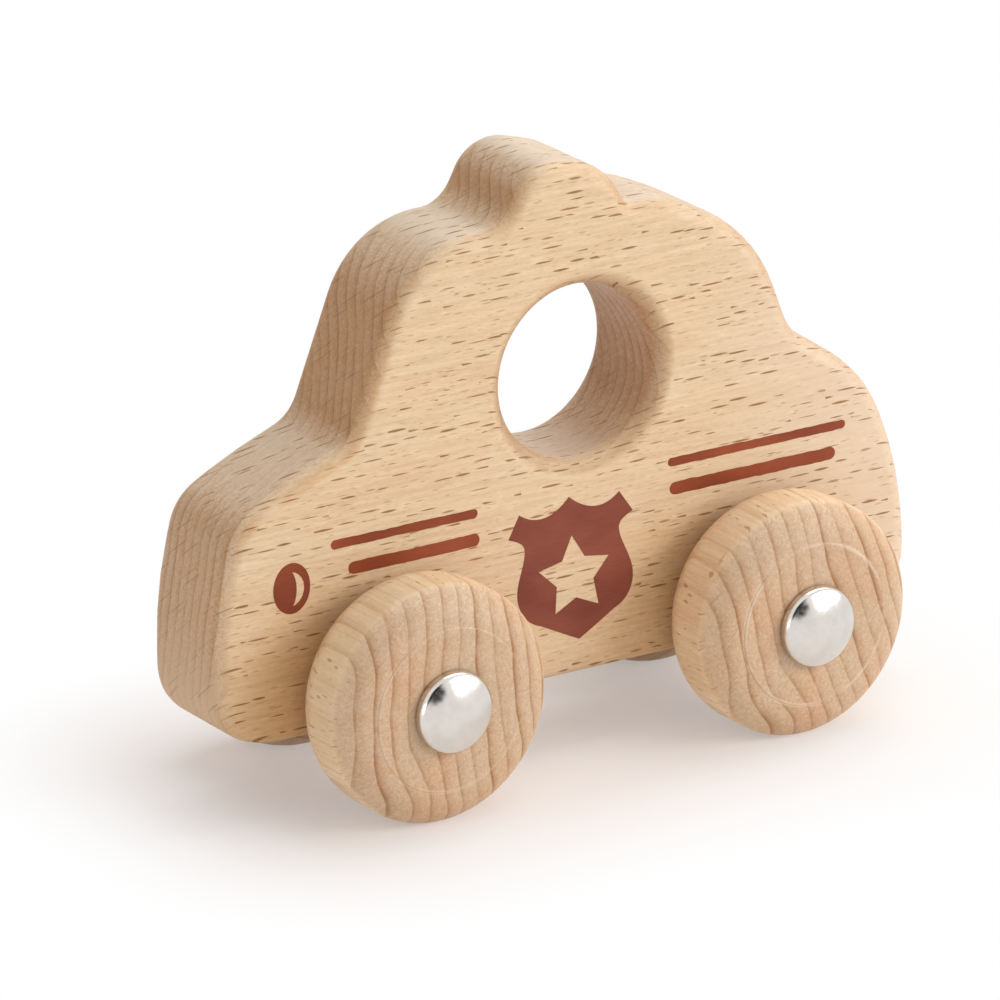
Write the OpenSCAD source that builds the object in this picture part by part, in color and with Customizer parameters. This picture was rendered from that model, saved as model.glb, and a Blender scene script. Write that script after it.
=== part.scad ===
// Wooden push-along police car. A solid board body with a finger hole through the cabin
// and a siren on the roof runs on four turned wheels, two steel axles and domed push-on caps.
// The nose points to -X, the tail to +X and up is +Z. The floor under the wheels is z = 0
// and the origin is under the middle of the body. Left is the -Y side.

/* [Body] */
// Length from nose to tail
body_len = 133.3; // [120:0.1:150]
// Thickness of the board
body_t = 21; // [16:0.5:28]
// Round-over along the edges of both sides
edge_r = 3; // [1.5:0.1:4]
// Height of the axle holes above the underside
axle_up = 7.3; // [6:0.1:9]
// Front axle, back from the nose
front_axle_back = 32.3; // [28:0.1:38]
// Rear axle, forward from the tail
rear_axle_fwd = 31.2; // [27:0.1:37]

/* [Front of the outline: back from the nose, up from the underside] */
// Back end of the slope under the nose
chin_back = 10.7; // [8:0.1:14]
// Radius where that slope meets the underside
chin_back_r = 19.5; // [10:0.5:25]
// Height of the lower front corner
chin_h = 2.6; // [1:0.1:5]
// Radius of the lower front corner
chin_r = 10; // [6:0.5:14]
// Height where the front begins to lean back
front_h = 22.6; // [18:0.1:27]
// Radius of that bend
front_r = 72; // [30:1:90]
// Setback of the upper front corner
nose_back = 4; // [1:0.1:8]
// Height of the upper front corner
nose_h = 38.2; // [34:0.1:41]
// Radius of the upper front corner
nose_r = 10; // [6:0.5:14]
// Middle of the hood
hood_back = 13.2; // [9:0.1:18]
// Height at the middle of the hood
hood_h = 43; // [41:0.1:45]
// Radius of the hood's slight crown
hood_r = 60; // [30:1:80]
// Foot of the windscreen
screen_back = 25.7; // [21:0.1:31]
// Height of the foot of the windscreen
screen_h = 48; // [45:0.1:53]
// Hollow radius at the foot of the windscreen
screen_r = 7; // [4:0.5:10]

/* [Roof and siren: back from the nose, up from the underside] */
// Front corner of the roof
roof_back = 37.8; // [33:0.1:42]
// Height of the roof
roof_h = 78.2; // [74:0.1:82]
// Radius of the front corner of the roof
roof_r = 18; // [10:0.5:22]
// Foot of the siren's front
siren_back = 54.7; // [51:0.1:57]
// Hollow radius at the foot of the siren's front
siren_foot_r = 6.5; // [3:0.5:9]
// Top front corner of the siren
siren_top_back = 60.5; // [58:0.1:64]
// Height of that corner
siren_h = 89.2; // [86:0.1:94]
// Radius of that corner
siren_r = 8; // [5:0.5:10]
// Top rear corner of the siren
siren_rear_back = 75.7; // [71:0.1:77]
// Height of that corner
siren_rear_h = 85; // [82:0.1:88]
// Radius of that corner
siren_rear_r = 12; // [6:0.5:14]
// Foot of the siren's rear
siren_heel_back = 78.9; // [77:0.1:82]
// Hollow radius at the foot of the siren's rear
siren_heel_r = 2.5; // [1:0.5:4]
// Bend where the roof starts to fall
roof_bend_back = 85.2; // [83:0.1:92]
// Radius of that bend
roof_bend_r = 16; // [8:0.5:24]

/* [Rear of the outline: forward from the tail, up from the underside] */
// Top of the rear window
window_fwd = 29.7; // [26:0.1:35]
// Height of the top of the rear window
window_h = 70; // [64:0.1:74]
// Radius over the rear window
window_r = 28; // [12:0.5:34]
// Foot of the rear window
boot_fwd = 22.5; // [18:0.1:26]
// Height of the foot of the rear window
boot_h = 50.9; // [46:0.1:55]
// Hollow radius at the foot of the rear window
boot_foot_r = 7.8; // [4:0.1:10]
// Corner over the tail
tail_top_fwd = 7.7; // [4:0.1:12]
// Height of the corner over the tail
tail_top_h = 40.9; // [36:0.1:45]
// Radius of the corner over the tail
tail_top_r = 27; // [12:0.5:32]
// Setback of the bend in the tail
tail_fwd = 1.4; // [0.5:0.1:3]
// Height of the bend in the tail
tail_h = 25.4; // [21:0.1:30]
// Radius of the bends in the tail
tail_r = 56; // [30:1:70]
// Height where the tail stands upright
heel_h = 13; // [11:0.1:16]
// Radius of the lower rear corner
heel_r = 9; // [5:0.5:10]

/* [Finger hole] */
// Diameter of the hole
hole_d = 29; // [22:0.5:34]
// Centre of the hole, back from the nose
hole_back = 69.5; // [62:0.1:74]
// Centre of the hole, up from the underside
hole_up = 51.3; // [46:0.1:55]
// Round-over of the rims
rim_r = 4; // [1.5:0.1:4.5]

/* [Wheels] */
// Diameter
wheel_d = 40; // [32:0.5:50]
// Width from the inner to the outer face
wheel_w = 16.9; // [14:0.1:20]
// Diameter of the flat disc on the outer face
disc_d = 27.2; // [22:0.1:30]
// Step from the disc down to the shoulder
disc_h = 0.2; // [0.1:0.05:0.4]
// Rounding of the outer shoulder, from the disc outwards
wheel_round_r = 7.4; // [6.5:0.1:9]
// Tighter rounding between the shoulder and the tread
tread_edge_r = 2.5; // [1:0.1:4]
// Rounding of the inner edge
wheel_inner_r = 7.2; // [2:0.1:8]
// Gap between a wheel and the body
wheel_gap = 1.2; // [0.3:0.05:2]

/* [Axles] */
// Diameter of the steel rods
axle_d = 6; // [4:0.1:7]
// Clearance all round the rods in the wood
axle_clear = 0.08; // [0.02:0.01:0.1]
// Chamfer of the rod ends
axle_chamfer = 0.6; // [0.2:0.1:1]

/* [Caps] */
// Diameter
cap_d = 13.7; // [11:0.1:16]
// Height from the rim to the top of the dome
cap_h = 3.4; // [2.6:0.1:5]
// Radius of the dome
dome_r = 12; // [9:0.5:20]
// Radius between the dome and the skirt
shoulder_r = 1.2; // [0.8:0.1:2]
// Sheet thickness
cap_t = 0.4; // [0.3:0.05:0.6]
// Width of the rim that is turned in under the lock
lip_w = 1; // [0.6:0.1:1.5]
// Gap between a cap and its wheel
cap_gap = 0.3; // [0.2:0.05:1]

/* [Locks: toothed rings that hold the caps on the rods] */
// Sheet thickness
lock_t = 0.5; // [0.3:0.05:0.7]
// Play of a lock in its cap and of its teeth on the rod
lock_play = 0.04; // [0.02:0.01:0.1]
// Number of teeth
lock_teeth = 6; // [4:1:10]
// Width of the slots between the teeth
lock_slot_w = 0.9; // [0.5:0.1:1.4]
// Wall left outside the slots
lock_wall = 1.4; // [1:0.1:1.8]

/* [Hidden] */
$fn = 96;
// how far every cut runs past the faces that it opens
overrun = 1;
// sides of the car along Y
left = -1;
right = 1;
// largest turn between two points of the outline's arcs, in degrees
arc_step = 6;
// steps across the round-over
edge_steps = 5;
// part of an edge that the arcs at its two ends may take up
room_share = 0.98;
// how far a rounding stands proud of its faces before they trim it, so that they cross
crease_share = 0.012;
// part of the tightest corner that the round-over may take up
edge_room_share = 0.9;

half_t = body_t / 2;
nose_x = -body_len / 2;
tail_x = body_len / 2;
wheel_r = wheel_d / 2;
axle_z = wheel_r;
underside_z = axle_z - axle_up;
front_x = nose_x + front_axle_back;
rear_x = tail_x - rear_axle_fwd;
hole_r = hole_d / 2;
axle_r = axle_d / 2;
bore_r = axle_r + axle_clear;
cap_r = cap_d / 2;
disc_r = disc_d / 2;
// distances out from the side of the body
wheel_face = wheel_gap + wheel_w;
cap_seat = wheel_face + cap_gap;
lock_seat = cap_seat + cap_t + lock_play;
rod_end = lock_seat + lock_t + axle_chamfer;

// Outline

// corners of the outline, clockwise from the chin: x, z and radius
corners = [
    [nose_x, underside_z + chin_h, chin_r],
    [nose_x, underside_z + front_h, front_r],
    [nose_x + nose_back, underside_z + nose_h, nose_r],
    [nose_x + hood_back, underside_z + hood_h, hood_r],
    [nose_x + screen_back, underside_z + screen_h, screen_r],
    [nose_x + roof_back, underside_z + roof_h, roof_r],
    [nose_x + siren_back, underside_z + roof_h, siren_foot_r],
    [nose_x + siren_top_back, underside_z + siren_h, siren_r],
    [nose_x + siren_rear_back, underside_z + siren_rear_h, siren_rear_r],
    [nose_x + siren_heel_back, underside_z + roof_h, siren_heel_r],
    [nose_x + roof_bend_back, underside_z + roof_h, roof_bend_r],
    [tail_x - window_fwd, underside_z + window_h, window_r],
    [tail_x - boot_fwd, underside_z + boot_h, boot_foot_r],
    [tail_x - tail_top_fwd, underside_z + tail_top_h, tail_top_r],
    [tail_x - tail_fwd, underside_z + tail_h, tail_r],
    [tail_x, underside_z + heel_h, tail_r],
    [tail_x, underside_z, heel_r],
    [nose_x + chin_back, underside_z, chin_back_r],
];
corner_count = len(corners);
// corner number i, counted round the outline
function corner(i) = corners[(i + corner_count) % corner_count];
function place(i) = [corner(i)[0], corner(i)[1]];
// edge from corner i to the next one, and its heading in degrees
function edge(i) = place(i + 1) - place(i);
function heading(i) = atan2(edge(i)[1], edge(i)[0]);
// turn at corner i, from -180 to 180 degrees; a turn to the right is a convex corner
function wrap(a) = a - 360 * round(a / 360);
function turn(i) = wrap(heading(i) - heading(i - 1));
// length that an arc of the wanted radius takes off the edges at corner i
function reach(i) = corner(i)[2] * tan(abs(turn(i)) / 2);
// arcs shrink where the two at the ends of an edge want more than its length
function room(i) = room_share * norm(edge(i)) / (reach(i) + reach(i + 1));
function arc_r(i) = corner(i)[2] * min(1, room(i), room(i - 1));
// radius of corner i, negative where the outline is hollow
function signed_r(i) = (turn(i) < 0 ? 1 : -1) * arc_r(i);
function outward(a) = [cos(a), sin(a)];
// centre of the arc at corner i
function arc_centre(i) =
    place(i) - outward(heading(i - 1)) * arc_r(i) * tan(abs(turn(i)) / 2)
    - outward(heading(i - 1) + 90) * signed_r(i);
function arc_steps(i) = max(1, ceil(abs(turn(i)) / arc_step));

numbers = [for (i = [0 : corner_count - 1]) i];
turns = [for (i = numbers) turn(i)];
normals = [for (i = numbers) heading(i - 1) + 90];
centres = [for (i = numbers) arc_centre(i)];
radii = [for (i = numbers) signed_r(i)];
steps = [for (i = numbers) arc_steps(i)];
edge_fit_r = min(edge_r, edge_room_share * min([for (r = radii) if (r > 0) r]));

// the outline moved inward by an inset, at one depth through the board
function outline(inset, y) = [
    for (i = numbers, k = [0 : steps[i]])
        let (p = centres[i] + (radii[i] - inset) * outward(normals[i] + turns[i] * k / steps[i]))
            [p[0], y, p[1]]
];
// outlines from the left side to the right side, drawn in along both round-overs
quarter = [for (k = [0 : edge_steps]) 90 * k / edge_steps];
sections = [
    for (a = quarter) outline(edge_fit_r * (1 - sin(a)), -half_t + edge_fit_r * (1 - cos(a))),
    for (a = quarter) outline(edge_fit_r * (1 - cos(a)), half_t - edge_fit_r * (1 - sin(a))),
];

// the point on each side of the board from which the whole outline is seen
hub_z = underside_z + screen_h * 2 / 3;
hubs = [[0, -half_t, hub_z], [0, half_t, hub_z]];

// Shapes that repeat

// solid skinned over a row of closed rings with equal numbers of points
// each end is closed by triangles about its hub, a point that sees the whole end ring
module loft(rings, hubs) {
    count = len(rings[0]);
    last = (len(rings) - 1) * count;
    hub = len(rings) * count;
    polyhedron(
        points = [for (ring = rings) each ring, each hubs],
        faces = [
            for (k = [0 : count - 1])
                let (next = (k + 1) % count)
                    each [[hub, next, k], [hub + 1, last + k, last + next]],
            for (s = [0 : len(rings) - 2], k = [0 : count - 1])
                let (a = s * count + k, b = s * count + (k + 1) % count)
                    each [[a, b, b + count], [a, b + count, a + count]],
        ]
    );
}

// brings a piece that is turned about Z to an axle, with z = 0 on the side of the body
module on_axle(x, side) {
    translate([x, side * half_t, axle_z])
        rotate([-side * 90, 0, 0]) children();
}

// half section of a wheel: a disc with a chamfered step, a shoulder of two arcs, a tread and a
// rounded inner edge
module wheel_section() {
    fall = wheel_r - disc_r;
    turn_r = min(tread_edge_r, fall * 0.8);
    round_r = max(wheel_round_r, fall * 1.02);
    shoulder_z = wheel_w - disc_h;
    tread_z = shoulder_z - round_r + sqrt(pow(round_r - turn_r, 2) - pow(fall - turn_r, 2));
    round_at = [disc_r, shoulder_z - round_r];
    turn_at = [wheel_r - turn_r, tread_z];
    inner_r = min(wheel_inner_r, tread_z * 0.95);
    inner = inner_r * (1 - crease_share / 4);
    intersection() {
        square([wheel_r, wheel_w]);
        union() {
            polygon([[0, inner], [disc_r, inner], [disc_r + disc_h, wheel_w - disc_h],
                [disc_r, wheel_w], [0, wheel_w]]);
            intersection() {
                translate(round_at) circle(round_r);
                polygon([round_at, round_at + (turn_at - round_at) * 2,
                    round_at + [round_r, round_r * 2], round_at + [0, round_r * 2]]);
            }
            translate(turn_at) circle(turn_r * (1 + crease_share / 4));
            translate([0, inner]) square([wheel_r, tread_z - inner]);
            square([wheel_r - inner, tread_z]);
            translate([wheel_r - inner, inner]) circle(inner_r);
        }
    }
}

// half section of a domed cap, drawn in by an inset
module dome_section(inset) {
    shoulder = shoulder_r - inset;
    centre_r = cap_r - shoulder_r;
    dome_z = cap_h - dome_r;
    shoulder_z = dome_z + sqrt(pow(dome_r - shoulder_r, 2) - pow(centre_r, 2));
    touch_r = centre_r * (dome_r - inset) / (dome_r - shoulder_r);
    intersection() {
        square([cap_r - inset, cap_h - inset]);
        union() {
            square([cap_r - inset, shoulder_z]);
            translate([centre_r, shoulder_z]) circle(shoulder * (1 + crease_share));
            intersection() {
                square([touch_r, cap_h]);
                translate([0, dome_z]) circle(dome_r - inset);
            }
        }
    }
}

// Pieces

// cut for the finger hole, with both rims rounded over
module finger_hole() {
    rim_z = half_t - rim_r * (1 - crease_share);
    translate([nose_x + hole_back, 0, underside_z + hole_up]) rotate([90, 0, 0]) rotate_extrude()
        difference() {
            translate([0, -half_t - overrun])
                square([hole_r + rim_r, body_t + 2 * overrun]);
            translate([hole_r, -rim_z]) square([rim_r + overrun, 2 * rim_z]);
            for (side = [left, right])
                translate([hole_r + rim_r, side * rim_z]) circle(rim_r);
        }
}

module body() {
    color("burlywood") difference() {
        loft(sections, hubs);
        finger_hole();
        for (x = [front_x, rear_x])
            translate([x, -half_t - overrun, axle_z]) rotate([-90, 0, 0])
                cylinder(r = bore_r, h = body_t + 2 * overrun);
    }
}

module axle(x) {
    reach = half_t + rod_end;
    color("silver") translate([x, 0, axle_z]) rotate([90, 0, 0]) rotate_extrude()
        polygon([
            [0, -reach],
            [axle_r - axle_chamfer, -reach],
            [axle_r, axle_chamfer - reach],
            [axle_r, reach - axle_chamfer],
            [axle_r - axle_chamfer, reach],
            [0, reach],
        ]);
}

module wheel(x, side) {
    color("tan") on_axle(x, side) translate([0, 0, wheel_gap]) rotate_extrude()
        difference() {
            wheel_section();
            translate([0, -overrun]) square([bore_r, wheel_w + 2 * overrun]);
        }
}

module cap(x, side) {
    color("gainsboro") on_axle(x, side) translate([0, 0, cap_seat]) rotate_extrude()
        difference() {
            dome_section(0);
            intersection() {
                dome_section(cap_t);
                translate([0, cap_t]) square([cap_r, cap_h]);
            }
            translate([0, -overrun]) square([cap_r - cap_t - lip_w, cap_t + 2 * overrun]);
        }
}

module lock(x, side) {
    ring_r = cap_r - cap_t - lock_play;
    color("dimgray") on_axle(x, side) translate([0, 0, lock_seat]) linear_extrude(lock_t)
        difference() {
            circle(ring_r);
            circle(axle_r + lock_play);
            for (k = [0 : lock_teeth - 1])
                rotate(360 * k / lock_teeth)
                    translate([0, -lock_slot_w / 2]) square([ring_r - lock_wall, lock_slot_w]);
        }
}

body();
axle(front_x);  // axle_front
axle(rear_x);  // axle_rear
wheel(front_x, left);  // wheel_front_left
wheel(front_x, right);  // wheel_front_right
wheel(rear_x, left);  // wheel_rear_left
wheel(rear_x, right);  // wheel_rear_right
cap(front_x, left);  // cap_front_left
cap(front_x, right);  // cap_front_right
cap(rear_x, left);  // cap_rear_left
cap(rear_x, right);  // cap_rear_right
lock(front_x, left);  // lock_front_left
lock(front_x, right);  // lock_front_right
lock(rear_x, left);  // lock_rear_left
lock(rear_x, right);  // lock_rear_right
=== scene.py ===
import math
import bpy
from mathutils import Matrix, Quaternion, Vector, noise


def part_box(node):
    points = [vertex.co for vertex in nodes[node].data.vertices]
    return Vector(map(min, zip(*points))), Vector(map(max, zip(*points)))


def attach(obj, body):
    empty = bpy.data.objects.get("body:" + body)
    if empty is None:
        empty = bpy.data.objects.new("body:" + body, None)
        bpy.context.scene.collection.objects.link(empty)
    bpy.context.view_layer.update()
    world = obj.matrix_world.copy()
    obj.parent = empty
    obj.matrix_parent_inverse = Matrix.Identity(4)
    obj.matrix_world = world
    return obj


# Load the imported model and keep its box

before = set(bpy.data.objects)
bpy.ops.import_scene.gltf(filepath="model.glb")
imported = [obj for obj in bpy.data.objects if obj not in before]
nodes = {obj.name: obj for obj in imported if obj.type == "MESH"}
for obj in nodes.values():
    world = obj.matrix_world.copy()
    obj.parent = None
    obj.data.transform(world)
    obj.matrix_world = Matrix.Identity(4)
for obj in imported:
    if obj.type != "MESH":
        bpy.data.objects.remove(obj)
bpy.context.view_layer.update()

# Shared values: sizes on the part are in millimetres, Blender works in metres

MM = 0.001
QUARTER = math.pi / 2
ZERO = (0.0, 0.0, 0.0)
WHITE = (1.0, 1.0, 1.0, 1.0)
UNDER_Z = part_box("body")[0].z / MM
SIDE_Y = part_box("body")[0].y / MM
HOLE = (2.85, UNDER_Z + 51.3)
HOLE_WALL = 14.5
DISC_R = 13.6

# Noise: waves per millimetre along three axes, detail and roughness; the wood's fibre is the first axis

NOISE = {
    "tone": ((0.02, 0.10, 0.10), 2.0, 0.55),
    "figure": ((0.28, 0.8, 0.8), 4.0, 0.65),
    "streak": ((0.09, 1.5, 1.5), 4.0, 0.6),
    "pores": ((0.8, 5.5, 5.5), 2.0, 0.6),
    "chalk": ((1.6, 2.4, 2.4), 3.0, 0.7),
    "ring_sway": ((0.010, 0.045, 0.045), 2.0, 0.55),
    "ring_broken": ((0.05, 0.30, 0.30), 3.0, 0.55),
    "tool": ((0.14, 2.6, 1.0), 2.0, 0.55),
    "hood_edge_tan": ((0.11, 0.11, 0.11), 3.0, 0.55),
    "blush": ((0.02, 0.16, 0.09), 3.0, 0.55),
    "rim_highlight_patches": ((0.05, 0.12, 0.12), 3.0, 0.55),
    "tarnish": ((0.35, 0.35, 0.35), 3.0, 0.55),
    "cap_marks": ((1.2, 1.2, 1.2), 4.0, 0.65),
    "rod_marks": ((6.0, 0.4, 6.0), 4.0, 0.65),
    "lock_marks": ((4.0, 4.0, 4.0), 4.0, 0.65),
    "ink_tone": ((0.06, 0.10, 0.10), 2.0, 0.55),
    "ink_grain": ((0.45, 3.2, 3.2), 4.0, 0.6),
}

# Ramps: where a mark sets in and where it is full, then the values there if not 0 and 1

RAMP = {
    "tone": (0.3, 0.7),
    "figure": (0.50, 0.72),
    "streak": (0.33, 0.72),
    "pores": (0.42, 0.78),
    "upward": (0.45, 0.95, 0.20, 0.62),
    "dust_and_sheen": (0.44, 0.70),
    "wood_rough": (0.2, 0.8, 0.42, 0.56),
    "dash_strength": (0.10, 0.55),
    "ring_broken": (0.25, 0.6, 0.45, 1.0),
    "tool": (0.58, 0.74),
    "worn_chalk": (0.34, 0.66, 0.10, 0.62),
    "facing_up": (0.0, 0.25),
    "hood": (-30.0, -44.0, 0.10, 0.55),
    "hood_edge_tan": (0.42, 0.62),
    "bore": (HOLE_WALL + 3.4, HOLE_WALL + 0.8),
    "bore_wall": (HOLE_WALL + 1.4, HOLE_WALL + 0.3),
    "bore_clear": (HOLE_WALL + 3.0, HOLE_WALL + 5.0),
    "level": (0.40, 0.85),
    "high": (UNDER_Z + 28.0, UNDER_Z + 52.0),
    "low": (UNDER_Z + 22.0, UNDER_Z + 6.0, 0.0, 0.50),
    "painted_top_sheen": (0.86, 1.0, 0.0, 0.30),
    "tail": (15.0, 60.0, 0.0, 0.50),
    "painted_wheel_shadow": (27.0, 9.0, 0.0, 0.90),
    "blush": (0.42, 0.66),
    "tarnish": (0.35, 0.7),
    "ink_grain": (0.4, 0.75),
    "ink_rough": (0.3, 0.7, 0.46, 0.60),
}

# Bands: a ramp up, then a ramp down

BAND = {
    "ring_broad": ((0.30, 0.95), (1.0, 0.95)),
    "ring_thin": ((0.76, 0.93), (1.0, 0.96)),
    "worn": ((0.36, 0.66), (0.96, 0.78)),
    "hood_edge_tan": ((0.58, 0.85), (1.0, 0.96)),
    "rim": ((DISC_R - 0.5, DISC_R - 0.1), (DISC_R + 0.6, DISC_R + 0.2)),
}

# Colours of the marks

TINT = {
    "tone": (1.0, 0.955, 0.90, 1.0),
    "figure": (0.905, 0.735, 0.535, 1.0),
    "streak": (0.88, 0.82, 0.74, 1.0),
    "pores": (0.70, 0.60, 0.50, 1.0),
    "dust_and_sheen": (0.95, 0.87, 0.79, 1.0),
    "rings": (0.60, 0.42, 0.27, 1.0),
    "flecks": (0.60, 0.44, 0.30, 1.0),
    "dashes": (0.44, 0.29, 0.17, 1.0),
    "worn": (0.800, 0.620, 0.430, 1.0),
    "hood_edge_tan": (0.86, 0.67, 0.45, 1.0),
    "bore": (0.80, 0.75, 0.71, 1.0),
    "painted_upper_shade": (0.86, 0.76, 0.65, 1.0),
    "painted_top_sheen": (0.88, 0.79, 0.72, 1.0),
    "tail": (0.81, 0.66, 0.52, 1.0),
    "rim": (0.870, 0.710, 0.560, 1.0),
    "blush": (1.0, 0.935, 0.915, 1.0),
    "ink_grain": (0.78, 0.70, 0.66, 1.0),
}


# Shader building

def feed(tree, socket, value):
    if isinstance(value, bpy.types.NodeSocket):
        tree.links.new(value, socket)
    else:
        socket.default_value = value


def put(tree, kind, sockets, **settings):
    node = tree.nodes.new("ShaderNode" + kind)
    for key, value in settings.items():
        setattr(node, key, value)
    for key, value in sockets.items():
        feed(tree, node.inputs[key], value)
    return node


def calc(tree, operation, *values):
    return put(tree, "Math", dict(enumerate(values)), operation=operation).outputs[0]


def vector_calc(tree, operation, *values):
    return put(tree, "VectorMath", dict(enumerate(values)), operation=operation)


def times(tree, product, *others):
    for other in others:
        product = calc(tree, "MULTIPLY", product, other)
    return product


def step(tree, value, start, end, low=0.0, high=1.0):
    sockets = {0: value, 1: start, 2: end, 3: low, 4: high}
    return put(tree, "MapRange", sockets, interpolation_type="SMOOTHSTEP").outputs[0]


def ramp(tree, value, kind):
    return step(tree, value, *RAMP[kind])


def band(tree, value, kind):
    rise, fall = BAND[kind]
    return times(tree, step(tree, value, *rise), step(tree, value, *fall))


def blend(tree, factor, first, second, mode="MIX"):
    sockets = {0: factor, 6: first, 7: second}
    node = put(tree, "Mix", sockets, data_type="RGBA", blend_type=mode)
    return node.outputs[2]


def stain(tree, share, colour, tint):
    return blend(tree, share, colour, tint, "MULTIPLY")


def noise_field(tree, place, kind):
    scale, detail, rough = NOISE[kind]
    moved = vector_calc(tree, "MULTIPLY", place, scale).outputs[0]
    sockets = {"Vector": moved, "Scale": 1.0, "Detail": detail, "Roughness": rough}
    return put(tree, "TexNoise", sockets).outputs["Fac"]


def grain_place(tree, turn, shift):
    coords = tree.nodes.new("ShaderNodeTexCoord")
    sockets = {"Vector": coords.outputs["Object"], "Location": shift, "Rotation": turn}
    mapping = put(tree, "Mapping", sockets)
    mapping.inputs["Scale"].default_value = (1 / MM, 1 / MM, 1 / MM)
    return mapping.outputs[0], coords.outputs["Normal"]


def new_material(name):
    material = bpy.data.materials.new(name)
    material.use_nodes = True
    tree = material.node_tree
    shader = tree.nodes["Principled BSDF"]
    return material, tree, shader


def finish_surface(tree, shader, colour, rough, height, strength, depth):
    feed(tree, shader.inputs["Base Color"], colour)
    feed(tree, shader.inputs["Roughness"], rough)
    bump = put(tree, "Bump", {"Strength": strength, "Distance": depth * MM, "Height": height})
    feed(tree, shader.inputs["Normal"], bump.outputs[0])


# Beech: fibre along the first axis of the turned coordinates, in millimetres
# A level with two values is a slope and a start over the share of end grain

BOARD = {
    "fibre": (1.0, 0.0, 0.0),
    "pith": (0.0, 62.0, 40.0),
    "ring_gap": 2.3,
    "face": (0.802, 0.616, 0.417, 1.0),
    "end": (0.700, 0.458, 0.268, 1.0),
    "cut": (0.14, 0.92),
    "ring_level": (0.62, 0.06),
    "dash_level": (-0.64, 1.0),
    "fleck_level": 0.50,
}
WHEEL = {
    "fibre": (0.0, 1.0, 0.0),
    "pith": (0.0, -66.0, 6.0),
    "ring_gap": 3.2,
    "face": (0.945, 0.745, 0.510, 1.0),
    "end": (0.667, 0.480, 0.321, 1.0),
    "cut": (0.10, 0.94),
    "ring_level": (0.52, 0.40),
    "dash_level": (-0.66, 0.90),
    "fleck_level": 0.90,
}
DASHES = {"cell": (7.6, 7.0, 2.1), "pace": 3.9, "length": 1.70, "thick": 0.098, "soft": 0.045}
FLECKS = {"cell": (4.6, 4.6, 1.5), "pace": 2.4, "length": 0.85, "thick": 0.075, "soft": 0.05}
RAY_TURN = (math.radians(38.0), 0.0, 0.0)
CELL_LOOSE = 0.9
DASH_SEED = 97.0
DASH_SHORTEST = 0.35
DASH_JOG = (0.9, -0.45)
DASH_BREADTH = 0.48
DASH_BLUNT = 4.0
DASH_THINNEST = 0.7
DASH_DRIFT = (1.2, -0.6)
ACROSS_FIBRE = (0.0, 1.0, 1.0)
RING_SWAY = 1.7
RING_THIN = 0.55
RING_BROAD = 0.60
RING_STRENGTH = (0.6, 0.45)
TOOL_LEANS = (0.62, -0.74)
TOOL_LEVEL = 0.16
# Painted wheel shadows on the body's side: x of each centre and its amber colour
PAINTED_WHEEL_SHADOW = ((-47.0, (0.885, 0.725, 0.505, 1.0)), (23.0, (0.965, 0.87, 0.70, 1.0)))
PAINTED_WHEEL_SHADOW_Z = UNDER_Z + 3.3
RIM_HIGHLIGHT_PATCHES = (0.40, 0.62)
FIGURE_LEVEL = (-0.30, 0.38)
STREAK_LEVEL = 0.85
PORE_LEVEL = (0.23, 0.32)
WHEEL_DASH = 0.25
PORE_HEIGHT = 0.35
DENT_HEIGHT = -0.5
WOOD_BUMP = (0.30, 0.08)
WOOD_SHINE = 0.36


def ray_dashes(tree, place, cell, pace, length, thick, soft):
    scale = (1 / cell[0], 1 / cell[1], 1 / cell[2])
    scaled = vector_calc(tree, "MULTIPLY", place, scale).outputs[0]
    sockets = {"Vector": scaled, "Scale": 1.0, "Randomness": CELL_LOOSE}
    cells = put(tree, "TexVoronoi", sockets, feature="F1")
    off = vector_calc(tree, "SUBTRACT", scaled, cells.outputs["Position"]).outputs[0]
    off = vector_calc(tree, "MULTIPLY", off, cell).outputs[0]
    away = put(tree, "SeparateXYZ", {0: off})
    spot = put(tree, "SeparateColor", {0: cells.outputs["Color"]})
    turn = calc(tree, "ROUND", calc(tree, "DIVIDE", away.outputs[0], pace))
    seed = calc(tree, "MULTIPLY_ADD", spot.outputs[0], DASH_SEED, turn)
    draw = put(tree, "TexWhiteNoise", {"W": seed}, noise_dimensions="1D").outputs["Color"]
    chance = put(tree, "SeparateColor", {0: draw})
    half = calc(tree, "MULTIPLY_ADD", chance.outputs[0], length, length * DASH_SHORTEST)
    along = calc(tree, "MULTIPLY_ADD", turn, -pace, away.outputs[0])
    along = calc(tree, "ADD", along, calc(tree, "MULTIPLY_ADD", chance.outputs[2], *DASH_JOG))
    along = calc(tree, "DIVIDE", along, half)
    along = calc(tree, "MULTIPLY", along, along)
    wide = calc(tree, "DIVIDE", away.outputs[1], cell[1] * DASH_BREADTH)
    wide = calc(tree, "POWER", calc(tree, "ABSOLUTE", wide), DASH_BLUNT)
    body = calc(tree, "SUBTRACT", 1.0, calc(tree, "ADD", along, wide))
    girth = calc(tree, "MULTIPLY_ADD", chance.outputs[2], thick, thick * DASH_THINNEST)
    lens = calc(tree, "MULTIPLY", body, girth)
    drift = calc(tree, "MULTIPLY_ADD", chance.outputs[1], *DASH_DRIFT)
    level = calc(tree, "ABSOLUTE", calc(tree, "ADD", away.outputs[2], drift))
    mask = step(tree, calc(tree, "SUBTRACT", lens, level), -soft, soft)
    return times(tree, mask, ramp(tree, chance.outputs[0], "dash_strength"))


def fibre_distance(tree, place):
    flat = vector_calc(tree, "MULTIPLY", place, ACROSS_FIBRE).outputs[0]
    return vector_calc(tree, "LENGTH", flat).outputs["Value"]


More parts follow.
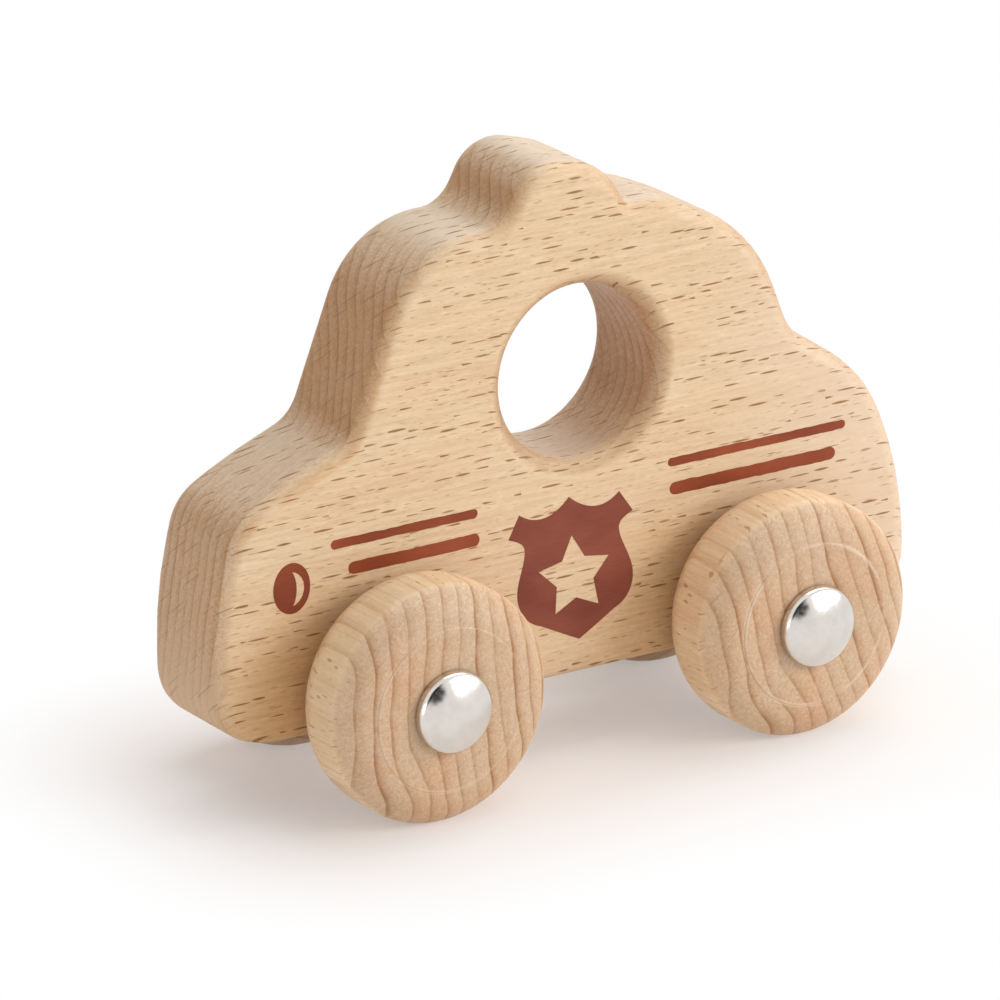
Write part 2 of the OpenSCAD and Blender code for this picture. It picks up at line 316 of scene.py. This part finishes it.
def ring_lines(tree, place, pith, gap):
    away = vector_calc(tree, "SUBTRACT", place, pith).outputs[0]
    sway = noise_field(tree, place, "ring_sway")
    reach = calc(tree, "MULTIPLY_ADD", sway, gap * RING_SWAY, fibre_distance(tree, away))
    count = calc(tree, "DIVIDE", reach, gap)
    part = calc(tree, "FRACT", count)
    whole = calc(tree, "FLOOR", count)
    chance = put(tree, "TexWhiteNoise", {"W": whole}, noise_dimensions="1D").outputs["Value"]
    broad = times(tree, band(tree, part, "ring_broad"), RING_BROAD)
    line = calc(tree, "MULTIPLY_ADD", band(tree, part, "ring_thin"), RING_THIN, broad)
    broken = ramp(tree, noise_field(tree, place, "ring_broken"), "ring_broken")
    strength = calc(tree, "MULTIPLY_ADD", chance, *RING_STRENGTH)
    return times(tree, line, broken, strength)


def tool_lines(tree, across, around):
    layers = []
    for lean in TOOL_LEANS:
        flat = put(tree, "CombineXYZ", {0: across, 1: around, 2: lean})
        turned = put(tree, "Mapping", {"Vector": flat.outputs[0], "Rotation": (0.0, 0.0, lean)})
        layers.append(noise_field(tree, turned.outputs[0], "tool"))
    return ramp(tree, calc(tree, "MAXIMUM", *layers), "tool")


def side_distance(tree, spot, middle_x, middle_z):
    x = calc(tree, "SUBTRACT", spot.outputs[0], middle_x)
    z = calc(tree, "SUBTRACT", spot.outputs[2], middle_z)
    reach = calc(tree, "SQRT", calc(tree, "MULTIPLY_ADD", x, x, times(tree, z, z)))
    return x, z, reach


def board_marks(tree, colour, place, normal, cut, chalk):
    spot = put(tree, "SeparateXYZ", {0: place})
    along = spot.outputs[0]
    height = spot.outputs[2]
    side = put(tree, "SeparateXYZ", {0: normal})
    edge = calc(tree, "ABSOLUTE", side.outputs[1])
    upward = side.outputs[2]
    worn = times(tree, band(tree, edge, "worn"), cut, ramp(tree, chalk, "worn_chalk"))
    colour = blend(tree, worn, colour, TINT["worn"])
    # A patchy tan band along the hood's near edge, on faces that look up
    hood_edge_tan = times(tree, band(tree, edge, "hood_edge_tan"), ramp(tree, upward, "facing_up"))
    cloud = ramp(tree, noise_field(tree, place, "hood_edge_tan"), "hood_edge_tan")
    hood_edge_tan = times(tree, hood_edge_tan, ramp(tree, along, "hood"), cloud)
    colour = stain(tree, hood_edge_tan, colour, TINT["hood_edge_tan"])
    x, z, reach = side_distance(tree, spot, *HOLE)
    around = times(tree, calc(tree, "ARCTAN2", z, x), HOLE_WALL)
    lines = times(tree, ramp(tree, reach, "bore_wall"), tool_lines(tree, spot.outputs[1], around))
    shade = calc(tree, "SUBTRACT", 1.0, ramp(tree, upward, "level"))
    # Painted shade: the hole's wall is darkened, except where it faces up
    colour = stain(tree, times(tree, ramp(tree, reach, "bore"), shade), colour, TINT["bore"])
    # Painted shade: upper end-grain faces away from the hole that do not face up are darkened
    painted_upper_shade = times(tree, cut, ramp(tree, height, "high"), shade, ramp(tree, reach, "bore_clear"))
    colour = stain(tree, painted_upper_shade, colour, TINT["painted_upper_shade"])
    # Painted bounce light: low end grain is blended towards the pale worn colour, standing in for light
    # from the floor
    painted_bounce_light = times(tree, cut, ramp(tree, height, "low"))
    colour = blend(tree, painted_bounce_light, colour, TINT["worn"])
    # Painted sheen: faces that look straight up are made paler
    colour = blend(tree, ramp(tree, upward, "painted_top_sheen"), colour, TINT["painted_top_sheen"])
    colour = blend(tree, times(tree, ramp(tree, along, "tail"), edge), colour, TINT["tail"])
    colour = blend(tree, times(tree, lines, TOOL_LEVEL), colour, TINT["rim"])
    # Painted shadow: amber darkening on the body's side to the left of each wheel
    for middle, amber in PAINTED_WHEEL_SHADOW:
        reach = side_distance(tree, spot, middle, PAINTED_WHEEL_SHADOW_Z)[2]
        colour = stain(tree, ramp(tree, reach, "painted_wheel_shadow"), colour, amber)
    return colour, lines


def wheel_marks(tree, colour, place, rim_highlight):
    blush = ramp(tree, noise_field(tree, place, "blush"), "blush")
    colour = stain(tree, blush, colour, TINT["blush"])
    # Painted highlight: a pale patchy line on the disc's rim, covering the shade in the rim's step
    rim_highlight_patches = step(tree, noise_field(tree, place, "rim_highlight_patches"), *RIM_HIGHLIGHT_PATCHES, 0.0, rim_highlight)
    rim = times(tree, band(tree, fibre_distance(tree, place), "rim"), rim_highlight_patches)
    return blend(tree, rim, colour, TINT["rim"])


def beech(name, wood, turn, shift, rim_highlight=None):
    material, tree, shader = new_material(name)
    place, normal = grain_place(tree, turn, shift)
    ray_place = put(tree, "Mapping", {"Vector": place, "Rotation": RAY_TURN}).outputs[0]
    lean = vector_calc(tree, "DOT_PRODUCT", normal, wood["fibre"]).outputs["Value"]
    cut = step(tree, calc(tree, "ABSOLUTE", lean), *wood["cut"])
    streak = noise_field(tree, place, "streak")
    pores = noise_field(tree, place, "pores")
    chalk = noise_field(tree, place, "chalk")
    dashes = ray_dashes(tree, ray_place, **DASHES)
    flecks = ray_dashes(tree, ray_place, **FLECKS)
    rings = ring_lines(tree, place, wood["pith"], wood["ring_gap"])
    colour = blend(tree, cut, wood["face"], wood["end"])
    tone = ramp(tree, noise_field(tree, place, "tone"), "tone")
    colour = stain(tree, tone, colour, TINT["tone"])
    figure = ramp(tree, noise_field(tree, place, "figure"), "figure")
    figure = times(tree, figure, calc(tree, "MULTIPLY_ADD", cut, *FIGURE_LEVEL))
    colour = blend(tree, figure, colour, TINT["figure"])
    grain = times(tree, ramp(tree, streak, "streak"), STREAK_LEVEL)
    colour = stain(tree, grain, colour, TINT["streak"])
    fine = times(tree, ramp(tree, pores, "pores"), calc(tree, "MULTIPLY_ADD", cut, *PORE_LEVEL))
    colour = stain(tree, fine, colour, TINT["pores"])
    upward = put(tree, "SeparateXYZ", {0: normal}).outputs[2]
    # Pale dust on end grain, strongest on faces that look up: partly dust, partly a painted sheen
    dust_and_sheen = times(tree, ramp(tree, chalk, "dust_and_sheen"), cut, ramp(tree, upward, "upward"))
    colour = blend(tree, dust_and_sheen, colour, TINT["dust_and_sheen"])
    rings = times(tree, rings, calc(tree, "MULTIPLY_ADD", cut, *wood["ring_level"]))
    colour = stain(tree, rings, colour, TINT["rings"])
    dash_level = calc(tree, "MULTIPLY_ADD", cut, *wood["dash_level"])
    dent = dashes
    if rim_highlight is None:
        colour, lines = board_marks(tree, colour, place, normal, cut, chalk)
        dent = calc(tree, "MAXIMUM", dashes, lines)
    else:
        colour = wheel_marks(tree, colour, place, rim_highlight)
        dashes = times(tree, dashes, cut, WHEEL_DASH)
    flecks = times(tree, flecks, dash_level, wood["fleck_level"])
    colour = stain(tree, flecks, colour, TINT["flecks"])
    colour = stain(tree, times(tree, dashes, dash_level), colour, TINT["dashes"])
    rough = ramp(tree, streak, "wood_rough")
    height = calc(tree, "MULTIPLY_ADD", pores, PORE_HEIGHT, times(tree, dent, DENT_HEIGHT))
    finish_surface(tree, shader, colour, rough, height, *WOOD_BUMP)
    shader.inputs["Specular IOR Level"].default_value = WOOD_SHINE
    return material


nodes["body"].material_slots[0].material = beech("beech_board", BOARD, ZERO, ZERO)

# Wheels, each cut from another place: turn in degrees, shift along the fibre, strength of the painted
# highlight on the rim

WHEEL_CUTS = {
    "wheel_front_left": (0.0, 3.0, 0.27),
    "wheel_rear_left": (13.0, 17.0, 0.42),
    "wheel_front_right": (70.0, 31.0, 0.30),
    "wheel_rear_right": (140.0, 47.0, 0.30),
}
for wheel, (spin, shift, rim_highlight) in WHEEL_CUTS.items():
    low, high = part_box(wheel)
    hub = (low + high) / 2 / MM
    turn = Matrix.Rotation(-QUARTER, 3, "Z")
    turn = Matrix.Rotation(math.radians(spin), 3, "X") @ turn
    moved = -(turn @ hub) + Vector((shift, 0.0, 0.0))
    wood = beech("beech_" + wheel, WHEEL, turn.to_euler(), moved, rim_highlight)
    nodes[wheel].material_slots[0].material = wood

# Metal: for each kind of piece a name, a clean and a dull colour, roughness and marks

METALS = {
    "cap_": ("plated_cap", (0.74, 0.70, 0.655, 1.0), (0.69, 0.65, 0.605, 1.0), 0.135, "cap_marks"),
    "axle_": ("drawn_rod", (0.62, 0.61, 0.60, 1.0), (0.52, 0.51, 0.50, 1.0), 0.28, "rod_marks"),
    "lock_": ("spring_lock", (0.36, 0.35, 0.34, 1.0), (0.28, 0.27, 0.26, 1.0), 0.34, "lock_marks"),
}
MARKED = (0.3, 0.75)
MARKED_ROUGH = 1.7
METAL_BUMP = (0.06, 0.02)


def steel(name, clean, dull, rough, scratch):
    material, tree, shader = new_material(name)
    place = grain_place(tree, ZERO, ZERO)[0]
    marks = noise_field(tree, place, scratch)
    tarnish = ramp(tree, noise_field(tree, place, "tarnish"), "tarnish")
    colour = blend(tree, tarnish, clean, dull)
    rough = step(tree, marks, *MARKED, rough, rough * MARKED_ROUGH)
    finish_surface(tree, shader, colour, rough, marks, *METAL_BUMP)
    shader.inputs["Metallic"].default_value = 1.0
    return material


for prefix, looks in METALS.items():
    metal = steel(*looks)
    for name, node in nodes.items():
        if name.startswith(prefix):
            node.material_slots[0].material = metal

# Smooth shading over the facets of the body and the caps

WELD_REACH = 0.001
SMOOTH_ANGLE = 34.0


def smooth_group(limit):
    tree = bpy.data.node_groups.new("smooth_weld", "GeometryNodeTree")
    tree.interface.new_socket("Geometry", in_out="INPUT", socket_type="NodeSocketGeometry")
    tree.interface.new_socket("Geometry", in_out="OUTPUT", socket_type="NodeSocketGeometry")
    start = tree.nodes.new("NodeGroupInput")
    end = tree.nodes.new("NodeGroupOutput")
    weld = tree.nodes.new("GeometryNodeMergeByDistance")
    weld.inputs["Distance"].default_value = WELD_REACH * MM
    bare = tree.nodes.new("GeometryNodeRemoveAttribute")
    bare.inputs["Name"].default_value = "custom_normal"
    faces = tree.nodes.new("GeometryNodeSetShadeSmooth")
    faces.domain = "FACE"
    edges = tree.nodes.new("GeometryNodeSetShadeSmooth")
    edges.domain = "EDGE"
    angle = tree.nodes.new("GeometryNodeInputMeshEdgeAngle")
    gentle = tree.nodes.new("FunctionNodeCompare")
    gentle.operation = "LESS_THAN"
    gentle.inputs[1].default_value = limit
    tree.links.new(angle.outputs["Unsigned Angle"], gentle.inputs[0])
    tree.links.new(gentle.outputs[0], edges.inputs["Shade Smooth"])
    chain = [start, weld, bare, faces, edges, end]
    for first, second in zip(chain, chain[1:]):
        tree.links.new(first.outputs[0], second.inputs[0])
    return tree


smooth_tree = smooth_group(math.radians(SMOOTH_ANGLE))
for name, node in nodes.items():
    if name == "body" or name.startswith("cap_"):
        smooth = node.modifiers.new("smooth_weld", "NODES")
        smooth.node_group = smooth_tree
weighted = nodes["body"].modifiers.new("weighted_normals", "WEIGHTED_NORMAL")
weighted.keep_sharp = True

# Ink

INK_GRAIN = 0.4
INK_BUMP = (0.2, 0.05)
INK_SHINE = 0.25


def ink(name, deep, thin):
    material, tree, shader = new_material(name)
    place = grain_place(tree, ZERO, ZERO)[0]
    tone = ramp(tree, noise_field(tree, place, "ink_tone"), "tone")
    grain = noise_field(tree, place, "ink_grain")
    colour = blend(tree, tone, deep, thin)
    share = times(tree, ramp(tree, grain, "ink_grain"), INK_GRAIN)
    colour = stain(tree, share, colour, TINT["ink_grain"])
    rough = ramp(tree, grain, "ink_rough")
    finish_surface(tree, shader, colour, rough, grain, *INK_BUMP)
    shader.inputs["Specular IOR Level"].default_value = INK_SHINE
    return material


shield_ink = ink("shield_ink", (0.205, 0.047, 0.025, 1.0), (0.290, 0.077, 0.046, 1.0))
stripe_ink = ink("stripe_ink", (0.250, 0.050, 0.019, 1.0), (0.346, 0.075, 0.028, 1.0))
light_ink = ink("light_ink", (0.209, 0.042, 0.018, 1.0), (0.285, 0.064, 0.027, 1.0))

# Prints on the left side of the body: x and height above the underside, in millimetres

INK_THICK = 0.05
INK_SUNK = 0.03
CURVE_POINTS = 14
END_POINTS = 24
OVAL_POINTS = 72
EDGE_STEP = 0.5
EDGE_RAGGED = 0.075
RAGGED_FINE = (1.1, 2.0, 0.5)
RAGGED_COARSE = (0.35, 2.0, 4.5)
STRIPES = {
    "front_upper": (-45.2, -17.6, 31.95, 1.5),
    "front_lower": (-42.0, -17.3, 27.4, 2.15),
    "rear_upper": (19.0, 53.8, 33.2, 1.5),
    "rear_lower": (19.3, 51.8, 28.6, 2.15),
}
HEADLIGHT_CENTRE = (-52.6, 26.25)
HEADLIGHT_HALF = (3.42, 4.27)
GLINT_TOP = (-52.45, 29.0)
GLINT_LOW = (-52.45, 23.2)
GLINT_OUTER = 2.9
GLINT_INNER = 1.0
GLINT_PULL = 0.25
GLINT_BLUNT = 0.6
SHIELD_X = 0.2
SHIELD_Z = 25.7
SHIELD_LEAN = -0.07
SHIELD_RISE = 0.018
SHIELD_PEAK = (0.0, 31.2)
SHIELD_EAR = (9.6, 30.1)
SHIELD_TIP = (11.95, 26.3)
SHIELD_WAIST = (9.05, 23.7)
SHIELD_BELLY = (11.12, 16.0)
SHIELD_HIP = (7.1, 10.3)
SHIELD_POINT = (0.0, 6.5)
SHIELD_TOP_PULLS = ((2.0, 29.3), (5.6, 26.9))
SHIELD_TIP_PULLS = ((10.4, 25.7), (9.0, 25.1))
SHIELD_WAIST_PULLS = ((9.15, 21.3), (11.1, 18.7))
SHIELD_BELLY_PULLS = ((11.1, 13.3), (9.6, 11.1))
SHIELD_HIP_PULLS = ((4.9, 9.1), (2.4, 7.7))
STAR_ARMS = 5
STAR_Z = 17.45
STAR_R = 7.1
STAR_SHARE = 0.524


def curve_points(start, first, second, end):
    points = []
    for i in range(CURVE_POINTS):
        t = i / CURVE_POINTS
        a = (1 - t) ** 3
        b = 3 * t * (1 - t) ** 2
        c = 3 * t * t * (1 - t)
        d = t ** 3
        x = a * start[0] + b * first[0] + c * second[0] + d * end[0]
        z = a * start[1] + b * first[1] + c * second[1] + d * end[1]
        points.append((x, z))
    return points


def printed(name, outlines, finish):
    shape = bpy.data.curves.new(name, "CURVE")
    shape.dimensions = "2D"
    shape.fill_mode = "BOTH"
    shape.extrude = (INK_THICK + INK_SUNK) / 2 * MM
    for outline in outlines:
        spline = shape.splines.new("POLY")
        spline.points.add(len(outline) - 1)
        spline.use_cyclic_u = True
        for point, (x, z) in zip(spline.points, outline):
            point.co = (x * MM, (z + UNDER_Z) * MM, 0.0, 1.0)
    holder = bpy.data.objects.new(name + "_outline", shape)
    mesh = bpy.data.meshes.new_from_object(holder)
    mesh.name = name
    bpy.data.objects.remove(holder)
    middle = SIDE_Y - (INK_THICK - INK_SUNK) / 2
    stand = Matrix.Translation((0.0, middle * MM, 0.0)) @ Matrix.Rotation(QUARTER, 4, "X")
    mesh.transform(stand)
    mesh.materials.clear()
    mesh.materials.append(finish)
    piece = bpy.data.objects.new(name, mesh)
    bpy.context.scene.collection.objects.link(piece)
    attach(piece, "body")


def ragged(x, z):
    shift = 0.0
    for along, upward, layer in (RAGGED_FINE, RAGGED_COARSE):
        shift += noise.noise(Vector((x * along, z * upward, layer)))
    return x, z + EDGE_RAGGED * shift


def round_end(x, z, radius, start):
    points = []
    for i in range(END_POINTS + 1):
        turn = start + math.pi * i / END_POINTS
        points.append((x + radius * math.cos(turn), z + radius * math.sin(turn)))
    return points


def stripe_outline(start, end, level, thick):
    radius = thick / 2
    length = end - start - thick
    count = int(length / EDGE_STEP)
    points = round_end(start + radius, level, radius, QUARTER)
    for i in range(1, count):
        points.append((start + radius + length * i / count, level - radius))
    points += round_end(end - radius, level, radius, -QUARTER)
    for i in range(1, count):
        points.append((end - radius - length * i / count, level + radius))
    return [ragged(x, z) for x, z in points]


def oval_outline(centre, half):
    points = []
    for i in range(OVAL_POINTS):
        turn = 2 * math.pi * i / OVAL_POINTS
        points.append((centre[0] + half[0] * math.cos(turn), centre[1] + half[1] * math.sin(turn)))
    return points


def glint_outline():
    top = GLINT_TOP
    low = GLINT_LOW
    pull = (top[1] - low[1]) * GLINT_PULL
    blunt = pull * GLINT_BLUNT
    outer = curve_points(top, (top[0] + GLINT_OUTER, top[1] - blunt),
                         (low[0] + GLINT_OUTER, low[1] + blunt), low)
    inner = curve_points(low, (low[0] + GLINT_INNER, low[1] + pull),
                         (top[0] + GLINT_INNER, top[1] - pull), top)
    return outer + inner


def leaned(points):
    out = []
    for x, z in points:
        out.append((x + SHIELD_X + SHIELD_LEAN * (z - SHIELD_Z), z + SHIELD_RISE * x))
    return out


def shield_outline():
    half = curve_points(SHIELD_PEAK, *SHIELD_TOP_PULLS, SHIELD_EAR)
    half += [SHIELD_EAR]
    half += curve_points(SHIELD_TIP, *SHIELD_TIP_PULLS, SHIELD_WAIST)
    half += curve_points(SHIELD_WAIST, *SHIELD_WAIST_PULLS, SHIELD_BELLY)
    half += curve_points(SHIELD_BELLY, *SHIELD_BELLY_PULLS, SHIELD_HIP)
    half += curve_points(SHIELD_HIP, *SHIELD_HIP_PULLS, SHIELD_POINT)
    other = [(-x, z) for x, z in half[1:]]
    return leaned(half + [SHIELD_POINT] + other[::-1])


def star_outline():
    points = []
    for i in range(2 * STAR_ARMS):
        radius = STAR_R
        if i % 2:
            radius = STAR_R * STAR_SHARE
        turn = QUARTER - math.pi * i / STAR_ARMS
        points.append((radius * math.cos(turn), STAR_Z + radius * math.sin(turn)))
    return leaned(points)


for name, (start, end, level, thick) in STRIPES.items():
    printed("print_stripe_" + name, [stripe_outline(start, end, level, thick)], stripe_ink)
printed("print_headlight", [oval_outline(HEADLIGHT_CENTRE, HEADLIGHT_HALF), glint_outline()], light_ink)
printed("print_shield", [shield_outline(), star_outline()], shield_ink)

# Floor, which turns to plain white away from the car; lengths in metres

FLOOR_HALF = 4.0
FLOOR_CORE = (45.0 * MM, 18.0 * MM, 0.0)
FLOOR_FADE = (0.003, 0.050)
FLOOR_SHARE = 0.36
FLOOR_PAINTED_BOUNCE = (0.985, 0.930, 0.902, 1.0)
FLOOR_COOL = (0.005, 0.055)
FLOOR_CLOUD = 9.0
FLOOR_DARK = (0.955, 0.92, 0.90, 1.0)
FLOOR_LIGHT = (0.97, 0.935, 0.915, 1.0)
FLOOR_ROUGH = 0.9
FLOOR_SHINE = 0.1


def floor_material():
    material, tree, shader = new_material("studio_floor")
    place = tree.nodes.new("ShaderNodeTexCoord").outputs["Object"]
    size = vector_calc(tree, "ABSOLUTE", place).outputs[0]
    outer = vector_calc(tree, "SUBTRACT", size, FLOOR_CORE).outputs[0]
    outer = vector_calc(tree, "MAXIMUM", outer, ZERO).outputs[0]
    away = vector_calc(tree, "LENGTH", outer).outputs["Value"]
    cloud = put(tree, "TexNoise", {"Vector": place, "Scale": FLOOR_CLOUD}).outputs["Fac"]
    feed(tree, shader.inputs["Base Color"], blend(tree, cloud, FLOOR_DARK, FLOOR_LIGHT))
    shader.inputs["Roughness"].default_value = FLOOR_ROUGH
    shader.inputs["Specular IOR Level"].default_value = FLOOR_SHINE
    path = tree.nodes.new("ShaderNodeLightPath")
    seen = calc(tree, "MAXIMUM", path.outputs["Is Camera Ray"], path.outputs["Is Glossy Ray"])
    seen = calc(tree, "MAXIMUM", seen, path.outputs["Is Transmission Ray"])
    fade = step(tree, away, *FLOOR_FADE)
    share = calc(tree, "MULTIPLY_ADD", fade, 1.0 - FLOOR_SHARE, FLOOR_SHARE)
    share = times(tree, seen, share)
    along = put(tree, "SeparateXYZ", {0: place}).outputs[0]
    # Painted bounce light: near the car, on its front half, the floor's glow is warm
    cool = calc(tree, "MAXIMUM", fade, step(tree, along, *FLOOR_COOL))
    glow = blend(tree, cool, FLOOR_PAINTED_BOUNCE, WHITE)
    white = put(tree, "Emission", {"Color": glow, "Strength": 1.0})
    both = put(tree, "MixShader", {0: share, 1: shader.outputs[0], 2: white.outputs[0]})
    output = tree.nodes["Material Output"]
    tree.links.new(both.outputs[0], output.inputs["Surface"])
    return material


floor_mesh = bpy.data.meshes.new("floor")
corners = [(-FLOOR_HALF, -FLOOR_HALF, 0.0), (FLOOR_HALF, -FLOOR_HALF, 0.0),
           (FLOOR_HALF, FLOOR_HALF, 0.0), (-FLOOR_HALF, FLOOR_HALF, 0.0)]
floor_mesh.from_pydata(corners, [], [(0, 1, 2, 3)])
floor_mesh.materials.append(floor_material())
floor = bpy.data.objects.new("floor", floor_mesh)
bpy.context.scene.collection.objects.link(floor)

# World: white to the camera, a soft grey room to the object, one dark side in the caps

ROOM_LEFT = 0.26
ROOM_RIGHT = 0.66
BRIGHT_WAY = (0.93, -0.20, 0.31)
DARK_WAY = (-0.30, -0.85, 0.433)
DARK_RAMP = (0.968, 1.000, 1.0, 0.02)
DARK_RAGGED = 0.10
ROOM_CLOUD = 5.0
ROOM_DETAIL = 2.0

world = bpy.data.worlds.new("studio")
bpy.context.scene.world = world
world.use_nodes = True
room = world.node_tree
coords = room.nodes.new("ShaderNodeTexCoord")
heading = vector_calc(room, "NORMALIZE", coords.outputs["Generated"]).outputs[0]
toward = vector_calc(room, "DOT_PRODUCT", heading, BRIGHT_WAY).outputs["Value"]
plain = step(room, toward, -1.0, 1.0, ROOM_LEFT, ROOM_RIGHT)
behind = vector_calc(room, "DOT_PRODUCT", heading, DARK_WAY).outputs["Value"]
room_noise = {"Vector": heading, "Scale": ROOM_CLOUD, "Detail": ROOM_DETAIL}
cloud = put(room, "TexNoise", room_noise).outputs["Fac"]
behind = calc(room, "MULTIPLY_ADD", cloud, DARK_RAGGED, behind)
clear = step(room, behind, *DARK_RAMP)
path = room.nodes.new("ShaderNodeLightPath")
mirrored = times(room, path.outputs["Is Glossy Ray"], clear)
seen = calc(room, "MAXIMUM", path.outputs["Is Camera Ray"], path.outputs["Is Transmission Ray"])
seen = calc(room, "MAXIMUM", seen, mirrored)
lit = times(room, path.outputs["Is Diffuse Ray"], plain)
backdrop = room.nodes["Background"]
feed(room, backdrop.inputs["Color"], WHITE)
feed(room, backdrop.inputs["Strength"], calc(room, "MAXIMUM", seen, lit))

# Lamps: place, aim and size in metres, power in watts

LAMPS = {
    "key": {"place": (0.74, -0.78, 0.46), "aim": (0.0, 0.0, 0.04), "size": (0.85, 0.425),
            "power": 6.05, "colour": (1.0, 0.99, 0.975)},
    "card": {"place": (-0.48, -0.26, 0.02), "aim": (-0.05, 0.0, 0.03), "size": (0.30, 0.30),
             "power": 0.56, "colour": (1.0, 1.0, 1.0)},
    "top": {"place": (0.40, 0.18, 1.04), "aim": (0.0, 0.0, 0.04), "size": (0.90, 0.90),
            "power": 4.6, "colour": (1.0, 0.995, 0.985)},
}


def softbox(name, place, aim, size, power, colour):
    lamp = bpy.data.lights.new(name, "AREA")
    lamp.shape = "RECTANGLE"
    lamp.size = size[0]
    lamp.size_y = size[1]
    lamp.energy = power
    lamp.color = colour
    holder = bpy.data.objects.new(name, lamp)
    holder.location = place
    holder.rotation_mode = "QUATERNION"
    holder.rotation_quaternion = (Vector(aim) - Vector(place)).to_track_quat("-Z", "Y")
    bpy.context.scene.collection.objects.link(holder)


for name, values in LAMPS.items():
    softbox(name, **values)

# Camera: angles in degrees, distance in metres, lens and sensor in millimetres

VIEW_AZIMUTH = -32.337
VIEW_ELEVATION = 19.366
VIEW_ROLL = -0.759
VIEW_DISTANCE = 1.5296
VIEW_TARGET = Vector((-6.65, 0.0, UNDER_Z + 28.91)) * MM
VIEW_LENS = 340.46
VIEW_SENSOR = 36.0

view_turn = math.radians(VIEW_AZIMUTH)
view_rise = math.radians(VIEW_ELEVATION)
back = Vector((math.sin(view_turn) * math.cos(view_rise),
               -math.cos(view_turn) * math.cos(view_rise), math.sin(view_rise)))
lens = bpy.data.cameras.new("camera")
lens.lens = VIEW_LENS
lens.sensor_width = VIEW_SENSOR
camera = bpy.data.objects.new("camera", lens)
camera.location = VIEW_TARGET + back * VIEW_DISTANCE
camera.rotation_mode = "QUATERNION"
roll = Quaternion((0.0, 0.0, 1.0), math.radians(VIEW_ROLL))
camera.rotation_quaternion = (-back).to_track_quat("-Z", "Y") @ roll
bpy.context.scene.collection.objects.link(camera)
bpy.context.scene.camera = camera
bpy.context.scene.view_settings.view_transform = "Standard"
